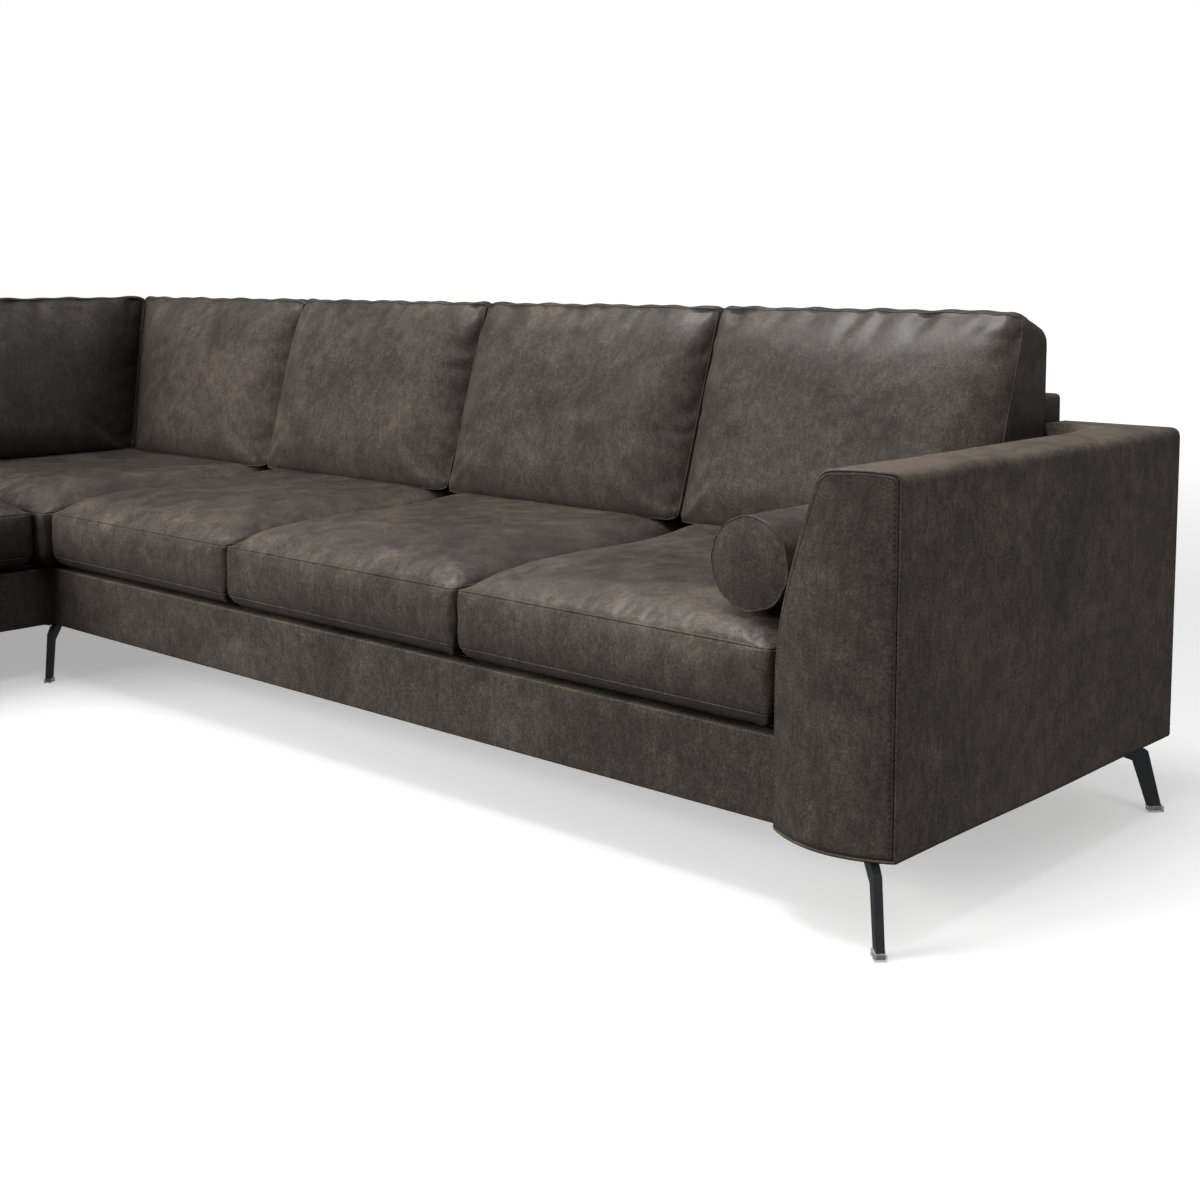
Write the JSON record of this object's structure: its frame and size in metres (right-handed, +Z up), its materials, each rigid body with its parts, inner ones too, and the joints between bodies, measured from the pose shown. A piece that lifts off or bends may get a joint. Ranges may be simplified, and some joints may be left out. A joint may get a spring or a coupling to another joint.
{
  "type": "corner sofa with chaise",
  "caption": "L-shaped corner sofa in dark mottled leather: boxed seat cushions, leaning back cushions, one bowed arm with a bolster, an open-ended chaise and splayed flat metal legs",
  "frame": {"origin": "on the floor under the middle of the whole sofa's box", "axes": "+X along the run of seats towards the arm, +Y to the rear of the run, +Z up; the run faces -Y and the chaise's inner side faces +X"},
  "size_m": [3.261, 2.1569, 0.8996],
  "materials": {
    "cushion_leather": "matt waxed leather, mottled",
    "frame_leather": "matt waxed leather, mottled",
    "gunmetal": "dark grey satin metal",
    "clear_plastic": "clear moulded plastic",
    "webbing": "black elastic webbing",
    "dust_cloth": "black non-woven cloth",
    "deck_felt": "dark felted foam",
    "zinc_steel": "zinc plated",
    "black_plastic": "moulded black plastic",
    "timber": "planed softwood and plywood"
  },
  "bodies": {
    "sofa_frame": {"arm_boards": "timber", "arm_cover": "frame_leather", "arm_formers": "timber", "arm_front_panel": "frame_leather", "arm_rear_cover": "frame_leather", "chaise_cross_rails": "timber", "chaise_deck_pad": "deck_felt", "chaise_dust_cloth": "dust_cloth", "chaise_end_fascia": "frame_leather", "chaise_inner_fascia": "frame_leather", "chaise_inner_rail": "timber", "chaise_outer_fascia": "frame_leather", "chaise_outer_rail": "timber", "chaise_rear_back_cover": "frame_leather", "chaise_rear_back_posts": "timber", "chaise_rear_back_rails": "timber", "chaise_side_back_cover": "frame_leather", "chaise_side_back_posts": "timber", "chaise_side_back_rails": "timber", "chaise_webbing": "webbing", "frame_bolts": "zinc_steel", "glide_chaise_left": "clear_plastic", "glide_chaise_right": "clear_plastic", "glide_front_right": "clear_plastic", "glide_inner_corner": "clear_plastic", "glide_rear_left": "clear_plastic", "glide_rear_right": "clear_plastic", "joining_plates": "zinc_steel", "leg_blocks": "timber", "leg_chaise_left": "gunmetal", "leg_chaise_right": "gunmetal", "leg_front_right": "gunmetal", "leg_inner_corner": "gunmetal", "leg_rear_left": "gunmetal", "leg_rear_right": "gunmetal", "main_back_cover": "frame_leather", "main_back_posts": "timber", "main_back_rails": "timber", "main_cross_rails": "timber", "main_deck_pad": "deck_felt", "main_dust_cloth": "dust_cloth", "main_front_fascia": "frame_leather", "main_front_rail": "timber", "main_rear_rail": "timber", "main_webbing": "webbing", "plate_screws": "zinc_steel", "support_legs": "black_plastic"},
    "seat_cushion_left": {"seat_cushion_left": "cushion_leather"},
    "seat_cushion_middle": {"seat_cushion_middle": "cushion_leather"},
    "seat_cushion_right": {"seat_cushion_right": "cushion_leather"},
    "back_cushion_left": {"back_cushion_left": "cushion_leather"},
    "back_cushion_middle": {"back_cushion_middle": "cushion_leather"},
    "back_cushion_right": {"back_cushion_right": "cushion_leather"},
    "seat_cushion_corner": {"seat_cushion_corner": "cushion_leather"},
    "seat_cushion_chaise": {"seat_cushion_chaise": "cushion_leather"},
    "back_cushion_corner": {"back_cushion_corner": "cushion_leather"},
    "side_cushion_rear": {"side_cushion_rear": "cushion_leather"},
    "side_cushion_front": {"side_cushion_front": "cushion_leather"},
    "bolster_cushion": {"bolster_cushion": "cushion_leather"}
  },
  "joints": [
    {"name": "seat_left_lift", "type": "slide", "parent": "sofa_frame", "child": "seat_cushion_left", "axis": [0, 0, 1], "range_m": [0, 0.45]},
    {"name": "seat_middle_lift", "type": "slide", "parent": "sofa_frame", "child": "seat_cushion_middle", "axis": [0, 0, 1], "range_m": [0, 0.45]},
    {"name": "seat_right_lift", "type": "slide", "parent": "sofa_frame", "child": "seat_cushion_right", "axis": [0, 0, 1], "range_m": [0, 0.45]},
    {"name": "seat_corner_lift", "type": "slide", "parent": "sofa_frame", "child": "seat_cushion_corner", "axis": [0, 0, 1], "range_m": [0, 0.45]},
    {"name": "seat_chaise_lift", "type": "slide", "parent": "sofa_frame", "child": "seat_cushion_chaise", "axis": [0, 0, 1], "range_m": [0, 0.45]},
    {"name": "back_left_lift", "type": "slide", "parent": "seat_cushion_left", "child": "back_cushion_left", "axis": [0, 0, 1], "range_m": [0, 0.3]},
    {"name": "back_middle_lift", "type": "slide", "parent": "seat_cushion_middle", "child": "back_cushion_middle", "axis": [0, 0, 1], "range_m": [0, 0.3]},
    {"name": "back_right_lift", "type": "slide", "parent": "seat_cushion_right", "child": "back_cushion_right", "axis": [0, 0, 1], "range_m": [0, 0.3]},
    {"name": "back_corner_lift", "type": "slide", "parent": "seat_cushion_corner", "child": "back_cushion_corner", "axis": [0, 0, 1], "range_m": [0, 0.3]},
    {"name": "side_rear_lift", "type": "slide", "parent": "seat_cushion_corner", "child": "side_cushion_rear", "axis": [0, 0, 1], "range_m": [0, 0.3]},
    {"name": "side_front_lift", "type": "slide", "parent": "seat_cushion_chaise", "child": "side_cushion_front", "axis": [0, 0, 1], "range_m": [0, 0.3]},
    {"name": "bolster_lift", "type": "slide", "parent": "seat_cushion_right", "child": "bolster_cushion", "axis": [0, 0, 1], "range_m": [0, 0.3]}
  ]
}
